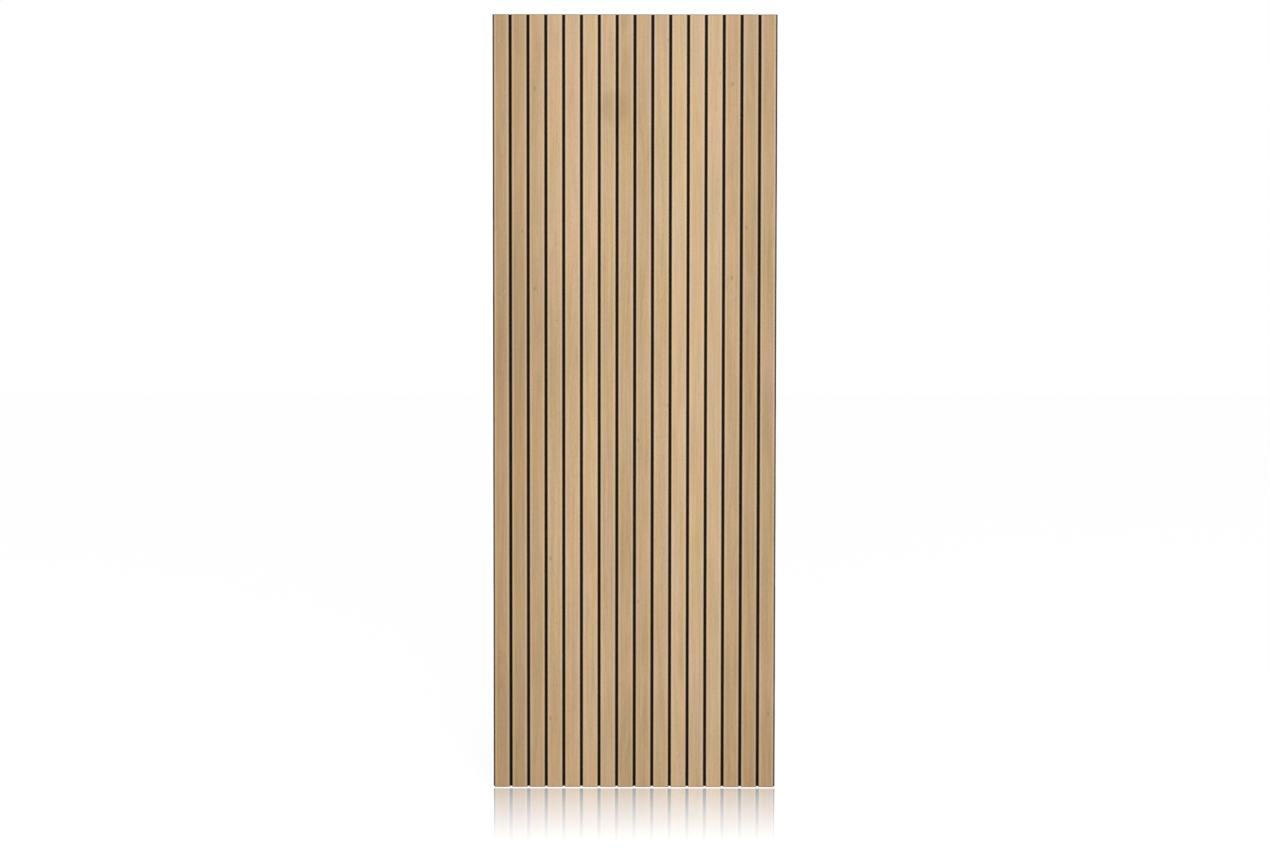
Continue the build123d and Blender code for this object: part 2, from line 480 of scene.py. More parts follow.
place = add(tree, "ShaderNodeTexCoord").outputs["Object"]
drawn_place = add(tree, "ShaderNodeMapping", {"Vector": place, "Scale": DRAWN_LINES}).outputs[0]
drawn = add(tree, "ShaderNodeTexNoise", {"Vector": drawn_place, "Scale": 1.0, "Detail": 2.0}).outputs["Fac"]
wire_ramp = add(tree, "ShaderNodeValToRGB", {"Fac": drawn})
for stop, position, colour in zip(wire_ramp.color_ramp.elements, (0.3, 0.7), (ZINC_DULL, ZINC_BRIGHT)):
    stop.position, stop.color = position, colour
tree.links.new(wire_ramp.outputs["Color"], shader.inputs["Base Color"])
wire_shine = add(tree, "ShaderNodeMapRange", {"Value": drawn, "From Min": 0.3, "From Max": 0.7,
                 "To Min": 0.28, "To Max": 0.42}).outputs["Result"]
tree.links.new(wire_shine, shader.inputs["Roughness"])
shader.inputs["Metallic"].default_value = 1.0
print(galvanised_wire.name, "has", len(tree.nodes), "nodes")

# %% [markdown]
# ## Making pieces with Geometry Nodes
#
# What repeats or follows a rule is made by a small tree of Geometry Nodes. The tree has named
# inputs for its sizes, so the same tree makes a leaf anywhere. One function starts a tree, and
# one ends it: it makes the instances real and gives them their material.


# %% Start and end a tree
def start_tree(name, numbers):
    """A new tree with one number input for each name; returns it and its input sockets."""
    tree = bpy.data.node_groups.new(name, "GeometryNodeTree")
    tree.interface.new_socket("Geometry", in_out="INPUT", socket_type="NodeSocketGeometry")
    for number in numbers:
        tree.interface.new_socket(number, in_out="INPUT", socket_type="NodeSocketFloat")
    tree.interface.new_socket("Geometry", in_out="OUTPUT", socket_type="NodeSocketGeometry")
    return tree, add(tree, "NodeGroupInput").outputs


def end_tree(tree, geometry, material):
    """Make instances real, give them their material, and lead them out."""
    real = add(tree, "GeometryNodeRealizeInstances", {"Geometry": geometry})
    painted = add(tree, "GeometryNodeSetMaterial", {"Geometry": real.outputs[0], "Material": material})
    add(tree, "NodeGroupOutput", {"Geometry": painted.outputs[0]})
    print(tree.name, "has", len(tree.nodes), "nodes")


print("geometry trees so far:", len(bpy.data.node_groups))

# %% [markdown]
# To run a tree, it is put on an object as a modifier, and its inputs are filled. Blender then
# works the result out, and that is kept as a plain mesh, so that nothing live is left on the
# piece.

# %% Run a tree
# Degrees: a piece is shaded smooth where two faces meet at less than this.
SMOOTH_BELOW = 40


def grow(name, tree, values, base=None, smooth_below=SMOOTH_BELOW):
    """Run a tree on an empty object, or on a base mesh, and keep the result as a plain mesh."""
    piece = bpy.data.objects.new(name, base or bpy.data.meshes.new(name))
    scene.collection.objects.link(piece)
    maker = piece.modifiers.new("maker", "NODES")
    maker.node_group = tree
    for item in tree.interface.items_tree:
        if item.in_out == "INPUT" and item.name in values:
            maker[item.identifier] = values[item.name]
    made = piece.evaluated_get(bpy.context.evaluated_depsgraph_get())
    mesh = bpy.data.meshes.new_from_object(made)
    piece.modifiers.remove(maker)
    piece.data = mesh
    mesh.name = name
    mesh.shade_smooth()
    mesh.set_sharp_from_angle(angle=math.radians(smooth_below))
    return piece


print("smooth below", SMOOTH_BELOW, "degrees")

# %% [markdown]
# What comes out is measured. Its box says whether it sits where its solid sits, and a volume
# above zero says that its faces point outwards.


# %% Measure a piece
def report(piece):
    """Print a piece's count of triangles, its box and its volume."""
    corners = [Vector(c) for c in piece.bound_box]
    low = [round(min(c[i] for c in corners) / MM, 2) for i in range(3)]
    high = [round(max(c[i] for c in corners) / MM, 2) for i in range(3)]
    triangles = sum(len(face.vertices) - 2 for face in piece.data.polygons)
    shell = bmesh.new()
    shell.from_mesh(piece.data)
    volume = shell.calc_volume(signed=True) / MM ** 3
    shell.free()
    print(f"{piece.name}: {triangles} triangles, {low} to {high} mm, {volume:.1f} mm3")


# %% [markdown]
# ## The oak leaves
#
# A leaf is a strip 32 mm wide and 0.6 mm thick, as long as the panel. Its outline seen from the
# end is a rectangle whose two front corners are sanded round, which draws a thin line of light
# along every edge. The tree draws that outline, fills it, and draws the face out along the
# slat. A turned copy of the face closes the far end.

# %% The leaf's tree
leaf_tree, sizes = start_tree("oak_leaf", ["Across", "Front", "Width", "Thickness", "Height", "Arris"])
ARRIS_STEPS = 3
SAME_POINT = 0.001 * MM

outline = add(leaf_tree, "GeometryNodeCurvePrimitiveQuadrilateral",
              {"Width": sizes["Width"], "Height": sizes["Thickness"]})
corner = add(leaf_tree, "ShaderNodeSeparateXYZ", {"Vector": add(leaf_tree, "GeometryNodeInputPosition").outputs[0]})
is_front = add(leaf_tree, "FunctionNodeCompare", {"A": corner.outputs["Y"], "B": 0.0},
               data_type="FLOAT", operation="LESS_THAN")
corner_radius = add(leaf_tree, "ShaderNodeMath", {0: is_front.outputs[0], 1: sizes["Arris"]}, operation="MULTIPLY")
eased = add(leaf_tree, "GeometryNodeFilletCurve",
            {"Curve": outline.outputs[0], "Radius": corner_radius.outputs[0], "Limit Radius": True}, mode="POLY")
next(s for s in eased.inputs if s.name == "Count").default_value = ARRIS_STEPS

end_face = add(leaf_tree, "GeometryNodeFillCurve", {"Curve": eased.outputs[0]}, mode="NGONS")
along = add(leaf_tree, "ShaderNodeCombineXYZ", {"Z": sizes["Height"]})
drawn_out = add(leaf_tree, "GeometryNodeExtrudeMesh",
                {"Mesh": end_face.outputs[0], "Offset": along.outputs[0], "Offset Scale": 1.0, "Individual": False})
lower_end = add(leaf_tree, "GeometryNodeFlipFaces", {"Mesh": end_face.outputs[0]})
both = add(leaf_tree, "GeometryNodeJoinGeometry")
for half in (drawn_out.outputs["Mesh"], lower_end.outputs[0]):
    leaf_tree.links.new(half, both.inputs[0])
closed = add(leaf_tree, "GeometryNodeMergeByDistance", {"Geometry": both.outputs[0], "Distance": SAME_POINT})

half_height = add(leaf_tree, "ShaderNodeMath", {0: sizes["Height"], 1: -0.5}, operation="MULTIPLY")
leaf_middle = add(leaf_tree, "ShaderNodeMath", {0: sizes["Thickness"], 1: 0.5, 2: sizes["Front"]},
                  operation="MULTIPLY_ADD")
leaf_place = add(leaf_tree, "ShaderNodeCombineXYZ",
                 {"X": sizes["Across"], "Y": leaf_middle.outputs[0], "Z": half_height.outputs[0]})
placed = add(leaf_tree, "GeometryNodeSetPosition", {"Geometry": closed.outputs[0], "Offset": leaf_place.outputs[0]})
end_tree(leaf_tree, placed.outputs[0], oak)

# %% [markdown]
# Sixteen runs of that tree make sixteen leaves. Each is a piece of its own, because the real
# ones are cut and glued one by one, and each takes the place of its solid in the frame.

# %% Make the leaves
LEAF_ARRIS = 0.4 * MM

leaves = []
for number in slat_numbers:
    leaf = grow(f"oak_leaf_{number:02d}", leaf_tree, {
        "Across": slat_x(number), "Front": oak_face, "Width": slat_width, "Thickness": leaf_thickness,
        "Height": panel_height, "Arris": LEAF_ARRIS,
    })
    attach(leaf, "root")
    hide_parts(f"slat_veneer_{number:02d}")
    leaves.append(leaf)
report(leaves[0])
report(leaves[-1])

# %% [markdown]
# ## The felt board
#
# The board is one piece, but nothing about felt is quite flat. Its cut edges are soft and
# a little ragged, it swells by a hair's breadth where the slats don't press on it, and every
# staple has pulled a shallow dimple into its back. Both faces are therefore grids, with lines
# only where something happens, and a rounded rim joins them. It is made in mesh code, because
# each of these three effects is one short formula.

# %% The felt's grid lines
staple_rows = 5
wire_width = 0.95 * MM
row_spacing = (staple_high.z - staple_low.z - wire_width) / (staple_rows - 1)
row_heights = [(index - (staple_rows - 1) / 2) * row_spacing for index in range(staple_rows)]
rim = 0.8 * MM

# Millimetres from a slat's middle to its upright lines, and from a row of staples to its
# level lines.
COLUMN_OFFSETS = [-18.75, -17.4, -16.0, -10.0, -7.8, -6.4, -4.0, 0.0, 4.0, 6.4, 7.8, 10.0, 16.0, 17.4]
ROW_OFFSETS = [-5.0, -2.6, -1.1, -0.35, 0.35, 1.1, 2.6, 5.0]
# Between the rows of staples, a level line about every 40 mm keeps the faces from being long
# slivers. It is left out where another line is nearer than this.
LEVEL_STEPS = 41
TOO_NEAR = 8 * MM

xs = [slat_x(number) + offset * MM for number in slat_numbers for offset in COLUMN_OFFSETS]
xs = [felt_low.x + rim] + xs[1:] + [felt_high.x - rim]
zs = {round(height + offset * MM, 6) for height in row_heights for offset in ROW_OFFSETS}
zs |= {round(felt_low.z + rim, 6), round(felt_high.z - rim, 6)}
for step in range(1, LEVEL_STEPS):
    level = felt_low.z + step * panel_height / LEVEL_STEPS
    if all(abs(level - z) > TOO_NEAR for z in zs):
        zs.add(round(level, 6))
zs = sorted(zs)
print(len(xs), "by", len(zs), "lines")

# %% [markdown]
# The three effects are each a function of where a point lies. A dimple is a bell curve round a
# staple's crown, and a swelling is an arch across a gap. The ragged edge is drawn at random, from
# a fixed seed, so that the board comes out the same each time.

# %% The felt's three effects
crown_half = 6.4 * MM
DIMPLE_DEPTH, DIMPLE_REACH = 0.75 * MM, 1.9 * MM
SWELLING = 0.35 * MM
KNIFE_SLIP_MM, KNIFE_SEED = 0.30, 11


def dimple(x, z):
    """How deep the staples have pulled the back of the felt in at a point."""
    number = min(max(round(x / slat_pitch + (len(slat_numbers) + 1) / 2), 1), len(slat_numbers))
    row = min(row_heights, key=lambda height: abs(height - z))
    past_end = max(abs(x - slat_x(number)) - crown_half, 0.0)
    away = math.hypot(past_end, z - row)
    return DIMPLE_DEPTH * math.exp(-(away / DIMPLE_REACH) ** 2)


def swelling(x):
    """How far the front of the felt stands up in the gaps, where no slat presses on it."""
    from_gap = abs((x / slat_pitch + 0.5) % 1.0 - 0.5) * slat_pitch
    return SWELLING * max(1.0 - (from_gap / half_gap) ** 2, 0.0)


chance = random.Random(KNIFE_SEED)


def raggedness():
    """How far the knife has left the cut edge short, at random."""
    return chance.uniform(0.0, KNIFE_SLIP_MM) * MM


print(f"dimples {dimple(slat_x(1), row_heights[0]) / MM:.2f} mm, swelling {swelling(0.0) / MM:.2f} mm")

# %% [markdown]
# Both faces are laid out on the same lines, so that each has the same points round its border.
# A point is moved only forwards: at a dimple on the back, and in a gap on the front.

# %% The felt's two faces
felt_mesh = bmesh.new()
last_i, last_j = len(xs) - 1, len(zs) - 1
back = [[felt_mesh.verts.new((x, felt_high.y - dimple(x, z), z)) for z in zs] for x in xs]
front = [[felt_mesh.verts.new((x, felt_low.y - swelling(x) * (abs(x) < felt_high.x - 2 * rim), z)) for z in zs]
         for x in xs]
for side in (back, front):
    for i in range(last_i):
        for j in range(last_j):
            felt_mesh.faces.new((side[i][j], side[i + 1][j], side[i + 1][j + 1], side[i][j + 1]))
print(len(felt_mesh.faces), "faces, back and front")

# %% [markdown]
# The rim goes round the board in rings, one behind the other, from the back's border over a
# quarter of a circle, down the cut edge, and over another quarter to the front's border. Each
# point of the cut edge lies short of it by its own random amount.

# %% The felt's rim
# The way round the board: up the left, along the top, down the right and back along the foot.
way_round = ([(0, j) for j in range(last_j)] + [(i, last_j) for i in range(last_i)]
             + [(last_i, j) for j in range(last_j, 0, -1)] + [(i, 0) for i in range(last_i, 0, -1)])
quarter = [math.radians(angle) for angle in (30, 60, 90)]
section = [(math.sin(a), felt_high.y - rim * (1 - math.cos(a))) for a in quarter]
section += [(1.0, (felt_high.y + felt_low.y) / 2)]
section += [(math.sin(a), felt_low.y + rim * (1 - math.cos(a))) for a in reversed(quarter)]
# Only the rings that lie this far out are ragged.
CUT_FROM = 0.8

rings_of_rim = [[back[i][j] for i, j in way_round]]
for outward, y in section:
    ring = []
    for i, j in way_round:
        reach = rim * outward - raggedness() * (outward > CUT_FROM)
        side_x = (i == last_i) - (i == 0)
        side_z = (j == last_j) - (j == 0)
        ring.append(felt_mesh.verts.new((xs[i] + side_x * reach, y, zs[j] + side_z * reach)))
    rings_of_rim.append(ring)
rings_of_rim.append([front[i][j] for i, j in way_round])
for inner, outer in zip(rings_of_rim, rings_of_rim[1:]):
    for k in range(len(way_round)):
        felt_mesh.faces.new((inner[k - 1], inner[k], outer[k], outer[k - 1]))
bmesh.ops.recalc_face_normals(felt_mesh, faces=felt_mesh.faces)
print(len(rings_of_rim), "rings of", len(way_round), "points")

# %% [markdown]
# The mesh is now put on an object, which takes the place of the felt's solid. Its limit for
# smooth shading is above the thirty degrees at which the rim's faces meet, so the rim looks round.

# %% Finish the felt board
ROUND_BELOW = 50

felt_board = bpy.data.objects.new("felt_board", bpy.data.meshes.new("felt_board"))
felt_mesh.to_mesh(felt_board.data)
felt_mesh.free()
scene.collection.objects.link(felt_board)
felt_board.data.materials.append(felt)
felt_board.data.shade_smooth()
felt_board.data.set_sharp_from_angle(angle=math.radians(ROUND_BELOW))
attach(felt_board, "root")
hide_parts("felt_backing")
report(felt_board)

# %% [markdown]
# ## Loose fibres
#
# Some fibres stand up from the felt in the gaps, and a knife leaves fibre ends at the cut
# edges. A tree scatters points over a base mesh, which is a plain strip for each place where
# fibres grow, and stands a bent three-sided hair on every point. The hairs are three times as
# thick as real fibres, or a camera would miss them.

# %% The fibres' tree
fibre_tree, sizes = start_tree("felt_fibres", ["Fibres per square metre", "Length", "Radius", "Lean", "Seed"])
LEAN_SEED, SIZE_SEED = 5, 9
HALF_TURN = 3.1416
SMALLEST, LARGEST = 0.5, 1.0

scatter = add(fibre_tree, "GeometryNodeDistributePointsOnFaces",
              {"Mesh": sizes["Geometry"], "Density": sizes["Fibres per square metre"], "Seed": sizes["Seed"]},
              distribute_method="RANDOM")
# One fibre, a unit long. Its root lies a little below the felt.
bent = add(fibre_tree, "GeometryNodeCurveQuadraticBezier",
           {"Resolution": 4, "Start": (0.0, 0.0, -0.1), "Middle": (0.05, 0.0, 0.5), "End": (0.6, 0.1, 0.7)})
fibre_scale = add(fibre_tree, "ShaderNodeCombineXYZ", {axis: sizes["Length"] for axis in "XYZ"})
longer = add(fibre_tree, "GeometryNodeTransform", {"Geometry": bent.outputs[0], "Scale": fibre_scale.outputs[0]})
hair_section = add(fibre_tree, "GeometryNodeCurvePrimitiveCircle", {"Resolution": 3, "Radius": sizes["Radius"]})
hair = add(fibre_tree, "GeometryNodeCurveToMesh",
           {"Curve": longer.outputs[0], "Profile Curve": hair_section.outputs[0], "Fill Caps": True})

# Each leans its own way, is turned all the way round at random, and has its own size.
lean_down = add(fibre_tree, "ShaderNodeMath", {0: sizes["Lean"], 1: -1.0}, operation="MULTIPLY")
lean_low = add(fibre_tree, "ShaderNodeCombineXYZ",
               {"X": lean_down.outputs[0], "Y": lean_down.outputs[0], "Z": -HALF_TURN})
lean_high = add(fibre_tree, "ShaderNodeCombineXYZ", {"X": sizes["Lean"], "Y": sizes["Lean"], "Z": HALF_TURN})
lean = add(fibre_tree, "FunctionNodeRandomValue", {"Min": lean_low.outputs[0], "Max": lean_high.outputs[0],
           "Seed": LEAN_SEED}, data_type="FLOAT_VECTOR")
turn = add(fibre_tree, "FunctionNodeRotateRotation", {"Rotation": scatter.outputs["Rotation"],
           "Rotate By": lean.outputs[0]}, rotation_space="LOCAL")
size_range = add(fibre_tree, "FunctionNodeRandomValue", {"Min": SMALLEST, "Max": LARGEST, "Seed": SIZE_SEED},
                 data_type="FLOAT")
standing = add(fibre_tree, "GeometryNodeInstanceOnPoints",
               {"Points": scatter.outputs["Points"], "Instance": hair.outputs[0], "Rotation": turn.outputs[0],
                "Scale": size_range.outputs[1]})
end_tree(fibre_tree, standing.outputs[0], felt)

# %% [markdown]
# There is a strip at each side, at the head and at the foot, and one in each gap. They stop
# short of the wall and of the floor, so that no fibre stands through either. A fibre grows the
# way its strip faces, which the order of the strip's corners sets, and the directions are
# printed. The strips in the gaps face the room, and their fibres show. Those at the edges face
# into the board, so nearly all of their fibres stay inside the felt, and only a few ends show.
# With their corners in the other order, they would grow a fringe that reaches past the solid.


# %% Where the fibres grow
def strips(name, corners):
    """A base mesh of separate four-cornered strips."""
    mesh = bpy.data.meshes.new(name)
    points = [point for strip in corners for point in strip]
    mesh.from_pydata(points, [], [tuple(range(k, k + 4)) for k in range(0, len(points), 4)])
    return mesh


OFF_WALL, OFF_ROOM, OFF_FLOOR, INSET = 1.8 * MM, 0.6 * MM, 1.2 * MM, 0.4 * MM
SHARE_OF_GAP = 0.8

wall, room = felt_high.y - OFF_WALL, felt_low.y + OFF_ROOM
foot, head = felt_low.z + OFF_FLOOR, felt_high.z
left, right, top = felt_low.x + INSET, felt_high.x - INSET, head - INSET
edge_strips = strips("felt_edges", [
    [(left, wall, foot), (left, wall, head), (left, room, head), (left, room, foot)],
    [(right, wall, foot), (right, room, foot), (right, room, head), (right, wall, head)],
    [(felt_low.x, wall, top), (felt_high.x, wall, top), (felt_high.x, room, top), (felt_low.x, room, top)],
    [(felt_low.x, wall, foot), (felt_low.x, room, foot), (felt_high.x, room, foot), (felt_high.x, wall, foot)],
])
strip_half = half_gap * SHARE_OF_GAP
gap_middles = [slat_x(number) + slat_pitch / 2 for number in slat_numbers[:-1]]
gap_strips = strips("felt_in_gaps", [
    [(x - strip_half, felt_low.y, foot), (x + strip_half, felt_low.y, foot),
     (x + strip_half, felt_low.y, head), (x - strip_half, felt_low.y, head)] for x in gap_middles
])
for strip_mesh in (edge_strips, gap_strips):
    print(strip_mesh.name, [tuple(round(v) for v in face.normal) for face in strip_mesh.polygons][:4])

# %% [markdown]
# The cut edges get many fibres. The gaps get only a few, because there the felt is as the
# needles left it. The fibres replace no solid, because the model has none for them.

# %% Grow the fibres
FIBRE_LENGTH, FIBRE_RADIUS = 1.6 * MM, 0.045 * MM
ALL_SMOOTH = 180
# Each crop's name and base mesh, its fibres per square metre, its lean in radians and its seed.
CROPS = [
    ("felt_edge_fibres", edge_strips, 70000.0, 0.9, 3.0),
    ("felt_gap_fibres", gap_strips, 4000.0, 1.1, 4.0),
]
for name, base, density, most_lean, seed in CROPS:
    fibres = grow(name, fibre_tree, {
        "Fibres per square metre": density, "Length": FIBRE_LENGTH, "Radius": FIBRE_RADIUS, "Lean": most_lean,
        "Seed": seed,
    }, base=base, smooth_below=ALL_SMOOTH)
    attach(fibres, "root")
    report(fibres)

# %% [markdown]
# ## The staples
#
# Each slat is held by five staples, shot through the felt from behind, so only their crowns
# show, on the back. One staple is a bent path with a small flat section drawn along it, and
# thinner towards its two points. The tree then sets one on each crossing of a grid, sixteen
# slats wide and five rows high.

# %% The staple's path
staple_tree, sizes = start_tree("wire_staples", ["Crown", "Sink", "Depth", "Wire width", "Wire thickness", "Bend",
                                                 "Pitch", "Row spacing"])
BEND_STEPS = 4

points = add(staple_tree, "GeometryNodeMeshLine", {"Count": 4, "Offset": (1.0, 0.0, 0.0)}, mode="OFFSET")
index = add(staple_tree, "GeometryNodeInputIndex").outputs[0]
# Points 0 and 3 are the tips, 1 and 2 the bends; 2 and 3 lie on the right.
on_right = add(staple_tree, "ShaderNodeMath", {0: index, 1: 1.5}, operation="GREATER_THAN")
from_centre = add(staple_tree, "ShaderNodeMath", {0: index, 1: 1.5}, operation="SUBTRACT")
from_centre = add(staple_tree, "ShaderNodeMath", {0: from_centre.outputs[0]}, operation="ABSOLUTE")
is_tip = add(staple_tree, "ShaderNodeMath", {0: from_centre.outputs[0], 1: 1.0}, operation="GREATER_THAN")
side_of_staple = add(staple_tree, "ShaderNodeMath", {0: on_right.outputs[0], 1: 0.5}, operation="SUBTRACT")
wire_line = add(staple_tree, "ShaderNodeMath", {0: sizes["Crown"], 1: sizes["Wire thickness"]}, operation="SUBTRACT")
point_x = add(staple_tree, "ShaderNodeMath", {0: side_of_staple.outputs[0], 1: wire_line.outputs[0]},
              operation="MULTIPLY")
crown_y = add(staple_tree, "ShaderNodeMath", {0: sizes["Wire thickness"], 1: 0.5, 2: sizes["Sink"]},
              operation="MULTIPLY_ADD")
leg_drop = add(staple_tree, "ShaderNodeMath", {0: sizes["Depth"], 1: crown_y.outputs[0]}, operation="SUBTRACT")
point_y = add(staple_tree, "ShaderNodeMath", {0: is_tip.outputs[0], 1: leg_drop.outputs[0], 2: crown_y.outputs[0]},
              operation="MULTIPLY_ADD")
point_y = add(staple_tree, "ShaderNodeMath", {0: point_y.outputs[0], 1: -1.0}, operation="MULTIPLY")
point_place = add(staple_tree, "ShaderNodeCombineXYZ", {"X": point_x.outputs[0], "Y": point_y.outputs[0]})
bent_line = add(staple_tree, "GeometryNodeSetPosition",
                {"Geometry": points.outputs[0], "Position": point_place.outputs[0]})
path = add(staple_tree, "GeometryNodeMeshToCurve", {"Mesh": bent_line.outputs[0]})
rounded = add(staple_tree, "GeometryNodeFilletCurve",
              {"Curve": path.outputs[0], "Radius": sizes["Bend"], "Limit Radius": True}, mode="POLY")
next(s for s in rounded.inputs if s.name == "Count").default_value = BEND_STEPS
print("the path has", len(staple_tree.nodes), "nodes")

# %% [markdown]
# The wire's section is a rectangle with a trace of a bevel, because flattening a round wire
# leaves no sharp corner. The path carries it, and makes it smaller at its two ends.

# %% The staple's wire, and all the staples
SECTION_BEVEL = 0.1 * MM
POINT_SIZE = 0.55

wire_section = add(staple_tree, "GeometryNodeCurvePrimitiveQuadrilateral",
                   {"Width": sizes["Wire thickness"], "Height": sizes["Wire width"]})
section_eased = add(staple_tree, "GeometryNodeFilletCurve",
                    {"Curve": wire_section.outputs[0], "Radius": SECTION_BEVEL, "Limit Radius": True}, mode="POLY")
next(s for s in section_eased.inputs if s.name == "Count").default_value = 1
at_tip = add(staple_tree, "GeometryNodeCurveEndpointSelection")
taper = add(staple_tree, "GeometryNodeSwitch", {"Switch": at_tip.outputs[0], "False": 1.0, "True": POINT_SIZE},
            input_type="FLOAT")
wire = add(staple_tree, "GeometryNodeCurveToMesh",
           {"Curve": rounded.outputs[0], "Profile Curve": section_eased.outputs[0], "Scale": taper.outputs[0],
            "Fill Caps": True})

all_pitches = add(staple_tree, "ShaderNodeMath", {0: sizes["Pitch"], 1: len(slat_numbers) - 1}, operation="MULTIPLY")
all_rows = add(staple_tree, "ShaderNodeMath", {0: sizes["Row spacing"], 1: staple_rows - 1}, operation="MULTIPLY")
crossings = add(staple_tree, "GeometryNodeMeshGrid",
                {"Size X": all_pitches.outputs[0], "Size Y": all_rows.outputs[0],
                 "Vertices X": len(slat_numbers), "Vertices Y": staple_rows})
upright = add(staple_tree, "GeometryNodeTransform",
              {"Geometry": crossings.outputs[0], "Rotation": (math.radians(90), 0.0, 0.0)})
shot = add(staple_tree, "GeometryNodeInstanceOnPoints", {"Points": upright.outputs[0], "Instance": wire.outputs[0]})
end_tree(staple_tree, shot.outputs[0], galvanised_wire)

# %% [markdown]
# The reach comes from the solid staples' own box, so that each crown lies in its seat, half a
# millimetre below the felt's surface, and each leg ends inside its slat's core.

# %% Shoot the staples
WIRE_THICKNESS, BEND_RADIUS = 0.65 * MM, 0.8 * MM

staples = grow("wire_staples", staple_tree, {
    "Crown": 2 * crown_half, "Sink": felt_high.y - staple_high.y, "Depth": felt_high.y - staple_low.y,
    "Wire width": wire_width, "Wire thickness": WIRE_THICKNESS, "Bend": BEND_RADIUS,
    "Pitch": slat_pitch, "Row spacing": row_spacing,
}, smooth_below=ROUND_BELOW)
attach(staples, "root")
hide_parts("staples")
report(staples)
print("the solid staples' box:", [[round(v / MM, 2) for v in corner] for corner in (staple_low, staple_high)])

# %% [markdown]
# ## The stage
#
# The panel stands on a plain pale floor, in a white room. For what the camera and clear
# reflections see, the room and the lit floor are plain white. The floor still darkens softly
# where the panel keeps the light off it. A polished strip in front of the panel returns a faint
# mirror picture of its foot, which has faded out 0.7 m away.

# %% The plain floor
WHITE = (1.0, 1.0, 1.0, 1.0)
# What the panel's light meets, and what is seen, which the lift brings up to white.
FLOOR_MET, FLOOR_SEEN, FLOOR_LIFT = "#e8e8e6", "#b4b4b4", 0.76

floor_material = bpy.data.materials.new("pale_polished_floor")
floor_material.use_nodes = True
tree = floor_material.node_tree
tree.nodes.clear()
rays_seen = add(tree, "ShaderNodeLightPath").outputs
lit = add(tree, "ShaderNodeBsdfDiffuse", {"Color": linear(FLOOR_MET)})
lit_softly = add(tree, "ShaderNodeBsdfDiffuse", {"Color": linear(FLOOR_SEEN)})
lift = add(tree, "ShaderNodeEmission", {"Color": WHITE, "Strength": FLOOR_LIFT})
seen_floor = add(tree, "ShaderNodeAddShader", {0: lit_softly.outputs[0], 1: lift.outputs[0]})
print("floor:", FLOOR_MET, "for light,", FLOOR_SEEN, "lifted by", FLOOR_LIFT, "for the eye")

# %% [markdown]
# The mirror picture is a mirror shader, mixed in by how far in front of the oak a point of the
# floor lies. It is strongest at the panel's foot. Light Path then sorts the rays: the camera gets
# the polished floor, mirrors and glass get the plain one, and all other light meets a pale grey.

# %% The mirror picture
MIRROR_STRENGTH, MIRROR_ROUGHNESS = 0.64, 0.02
# Metres in front of the oak: where the mirror picture begins, and where it fades.
MIRROR_BEGINS, MIRROR_FADES = (0.012, 0.022), (0.02, 0.70)

mirror = add(tree, "ShaderNodeBsdfAnisotropic", {"Color": WHITE, "Roughness": MIRROR_ROUGHNESS})

floor_place = add(tree, "ShaderNodeSeparateXYZ", {"Vector": add(tree, "ShaderNodeTexCoord").outputs["Object"]})
in_front = add(tree, "ShaderNodeMath", {0: floor_place.outputs["Y"], 1: -1.0, 2: oak_face},
               operation="MULTIPLY_ADD").outputs[0]
fade = add(tree, "ShaderNodeMapRange", {"Value": in_front, "From Min": MIRROR_FADES[0], "From Max": MIRROR_FADES[1],
           "To Min": MIRROR_STRENGTH, "To Max": 0.0}).outputs["Result"]
begins = add(tree, "ShaderNodeMapRange", {"Value": in_front, "From Min": MIRROR_BEGINS[0],
             "From Max": MIRROR_BEGINS[1], "To Min": 0.0, "To Max": 1.0}).outputs["Result"]
mirror_share = add(tree, "ShaderNodeMath", {0: fade, 1: begins}, operation="MULTIPLY").outputs[0]
polished = add(tree, "ShaderNodeMixShader", {0: mirror_share, 1: seen_floor.outputs[0], 2: mirror.outputs[0]})

seen_plainly = add(tree, "ShaderNodeMath",
                   {0: rays_seen["Is Glossy Ray"], 1: rays_seen["Is Transmission Ray"]}, operation="MAXIMUM")
first_choice = add(tree, "ShaderNodeMixShader",
                   {0: seen_plainly.outputs[0], 1: lit.outputs[0], 2: seen_floor.outputs[0]})
choice = add(tree, "ShaderNodeMixShader",
             {0: rays_seen["Is Camera Ray"], 1: first_choice.outputs[0], 2: polished.outputs[0]})
add(tree, "ShaderNodeOutputMaterial", {"Surface": choice.outputs[0]})
print(floor_material.name, "has", len(tree.nodes), "nodes")

# %% [markdown]
# The floor is one flat square, 24 m wide, level with the panel's foot.

# %% Lay the floor
FLOOR_HALF = 12.0

floor_mesh = bmesh.new()
bmesh.ops.create_grid(floor_mesh, x_segments=2, y_segments=2, size=FLOOR_HALF)
floor = bpy.data.objects.new("floor", bpy.data.meshes.new("floor"))
floor_mesh.to_mesh(floor.data)
floor_mesh.free()
floor.data.transform(Matrix.Translation((0.0, 0.0, felt_low.z)))
floor.data.materials.append(floor_material)
scene.collection.objects.link(floor)
print("the floor lies at", round(felt_low.z, 3), "m")

# %% [markdown]
# The room is the world behind everything. The camera and the reflections see it at strength 1,
# which is white, and as a light it is half as strong, or it would wash the panel out.

# %% Room
ROOM_LIGHT = 0.50

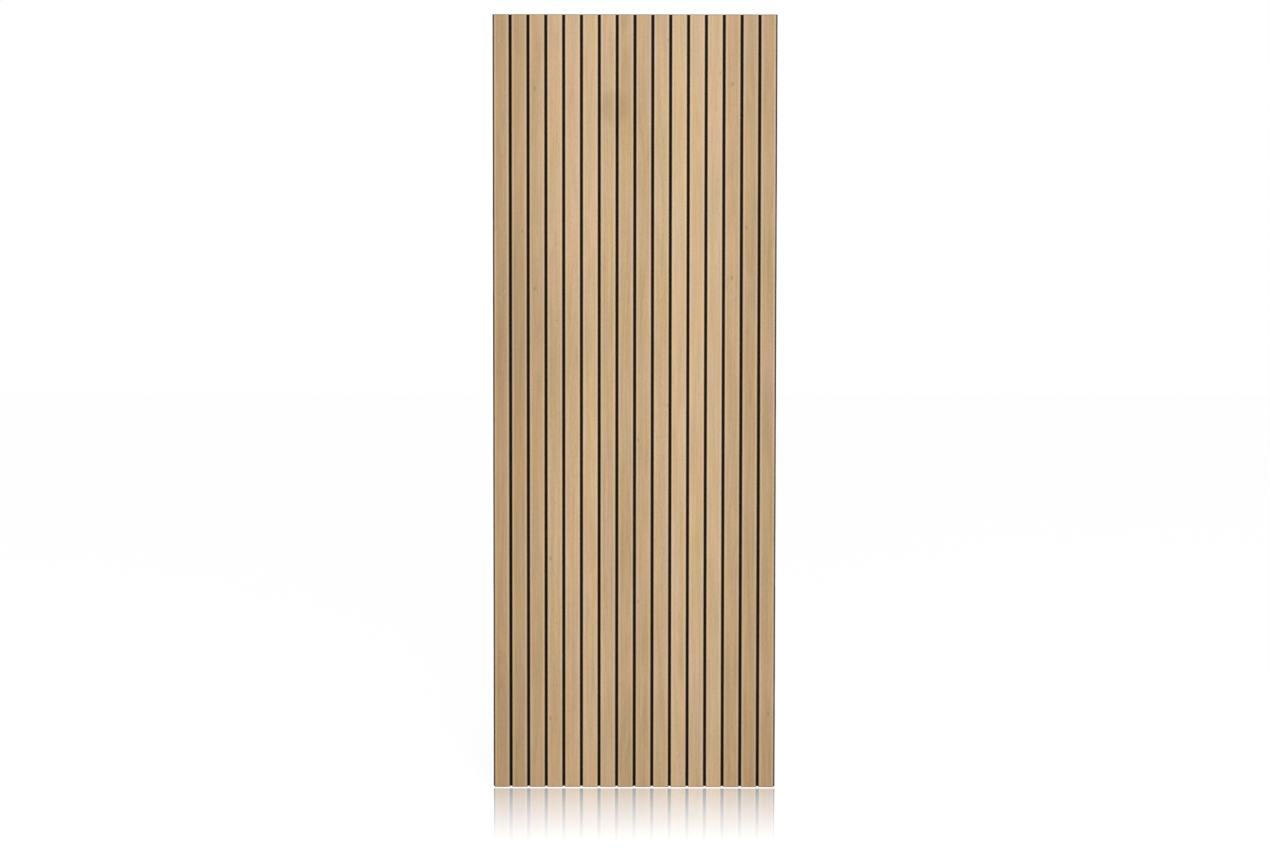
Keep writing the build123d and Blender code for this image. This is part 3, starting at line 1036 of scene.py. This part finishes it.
world = bpy.data.worlds.new("white_room")
scene.world = world
world.use_nodes = True
tree = world.node_tree
tree.nodes.clear()
rays_seen = add(tree, "ShaderNodeLightPath").outputs
seen = add(tree, "ShaderNodeMath", {0: rays_seen["Is Camera Ray"], 1: rays_seen["Is Glossy Ray"]}, operation="MAXIMUM")
seen = add(tree, "ShaderNodeMath", {0: seen.outputs[0], 1: rays_seen["Is Transmission Ray"]}, operation="MAXIMUM")
room_light = add(tree, "ShaderNodeBackground", {"Color": WHITE, "Strength": ROOM_LIGHT})
white_room = add(tree, "ShaderNodeBackground", {"Color": WHITE, "Strength": 1.0})
room_mix = add(tree, "ShaderNodeMixShader", {0: seen.outputs[0], 1: room_light.outputs[0], 2: white_room.outputs[0]})
add(tree, "ShaderNodeOutputWorld", {"Surface": room_mix.outputs[0]})
print(world.name, "lights at", ROOM_LIGHT)

# %% [markdown]
# ## Light
#
# One large softbox hangs in front of the panel, above and to the right, and the room fills in
# the rest. Together they light a colour so that it renders about as it is written.

# %% Softbox
BOX_PLACE = (0.4, -3.6, 1.0)
BOX_SIZE, BOX_WATTS = 2.0, 68.0

light = bpy.data.lights.new("softbox", "AREA")
light.shape = "SQUARE"
light.size = BOX_SIZE
light.energy = BOX_WATTS
lamp = bpy.data.objects.new("softbox", light)
lamp.location = BOX_PLACE
# It faces the panel's middle, which is the origin, and the camera never sees it.
lamp.rotation_euler = (-Vector(BOX_PLACE)).to_track_quat("-Z", "Y").to_euler()
lamp.visible_camera = False
scene.collection.objects.link(lamp)
print("softbox:", BOX_SIZE, "m wide,", BOX_WATTS, "W,", round(Vector(BOX_PLACE).length, 2), "m away")

# %% [markdown]
# ## Camera
#
# The camera stands 8 m away, lower than the panel's head, and looks down by four degrees and a
# half, which makes the panel's foot a trace narrower than its head. From that far, with a long
# lens, the slats stay all but parallel.

# %% Camera
CAMERA_PLACE = (0.0002, -8.0, 0.5773)
LENS_MM, SENSOR_MM = 107.12, 36.0
# In degrees. The roll is the photograph's own.
LOOKS_DOWN, ROLL = 4.446, -0.067

camera_data = bpy.data.cameras.new("camera")
camera_data.lens = LENS_MM
camera_data.sensor_width = SENSOR_MM
camera = bpy.data.objects.new("camera", camera_data)
camera.location = CAMERA_PLACE
camera.rotation_euler = (math.radians(90 - LOOKS_DOWN), math.radians(ROLL), 0.0)
scene.collection.objects.link(camera)
scene.camera = camera
print("camera:", LENS_MM, "mm lens,", -CAMERA_PLACE[1], "m in front of the wall")
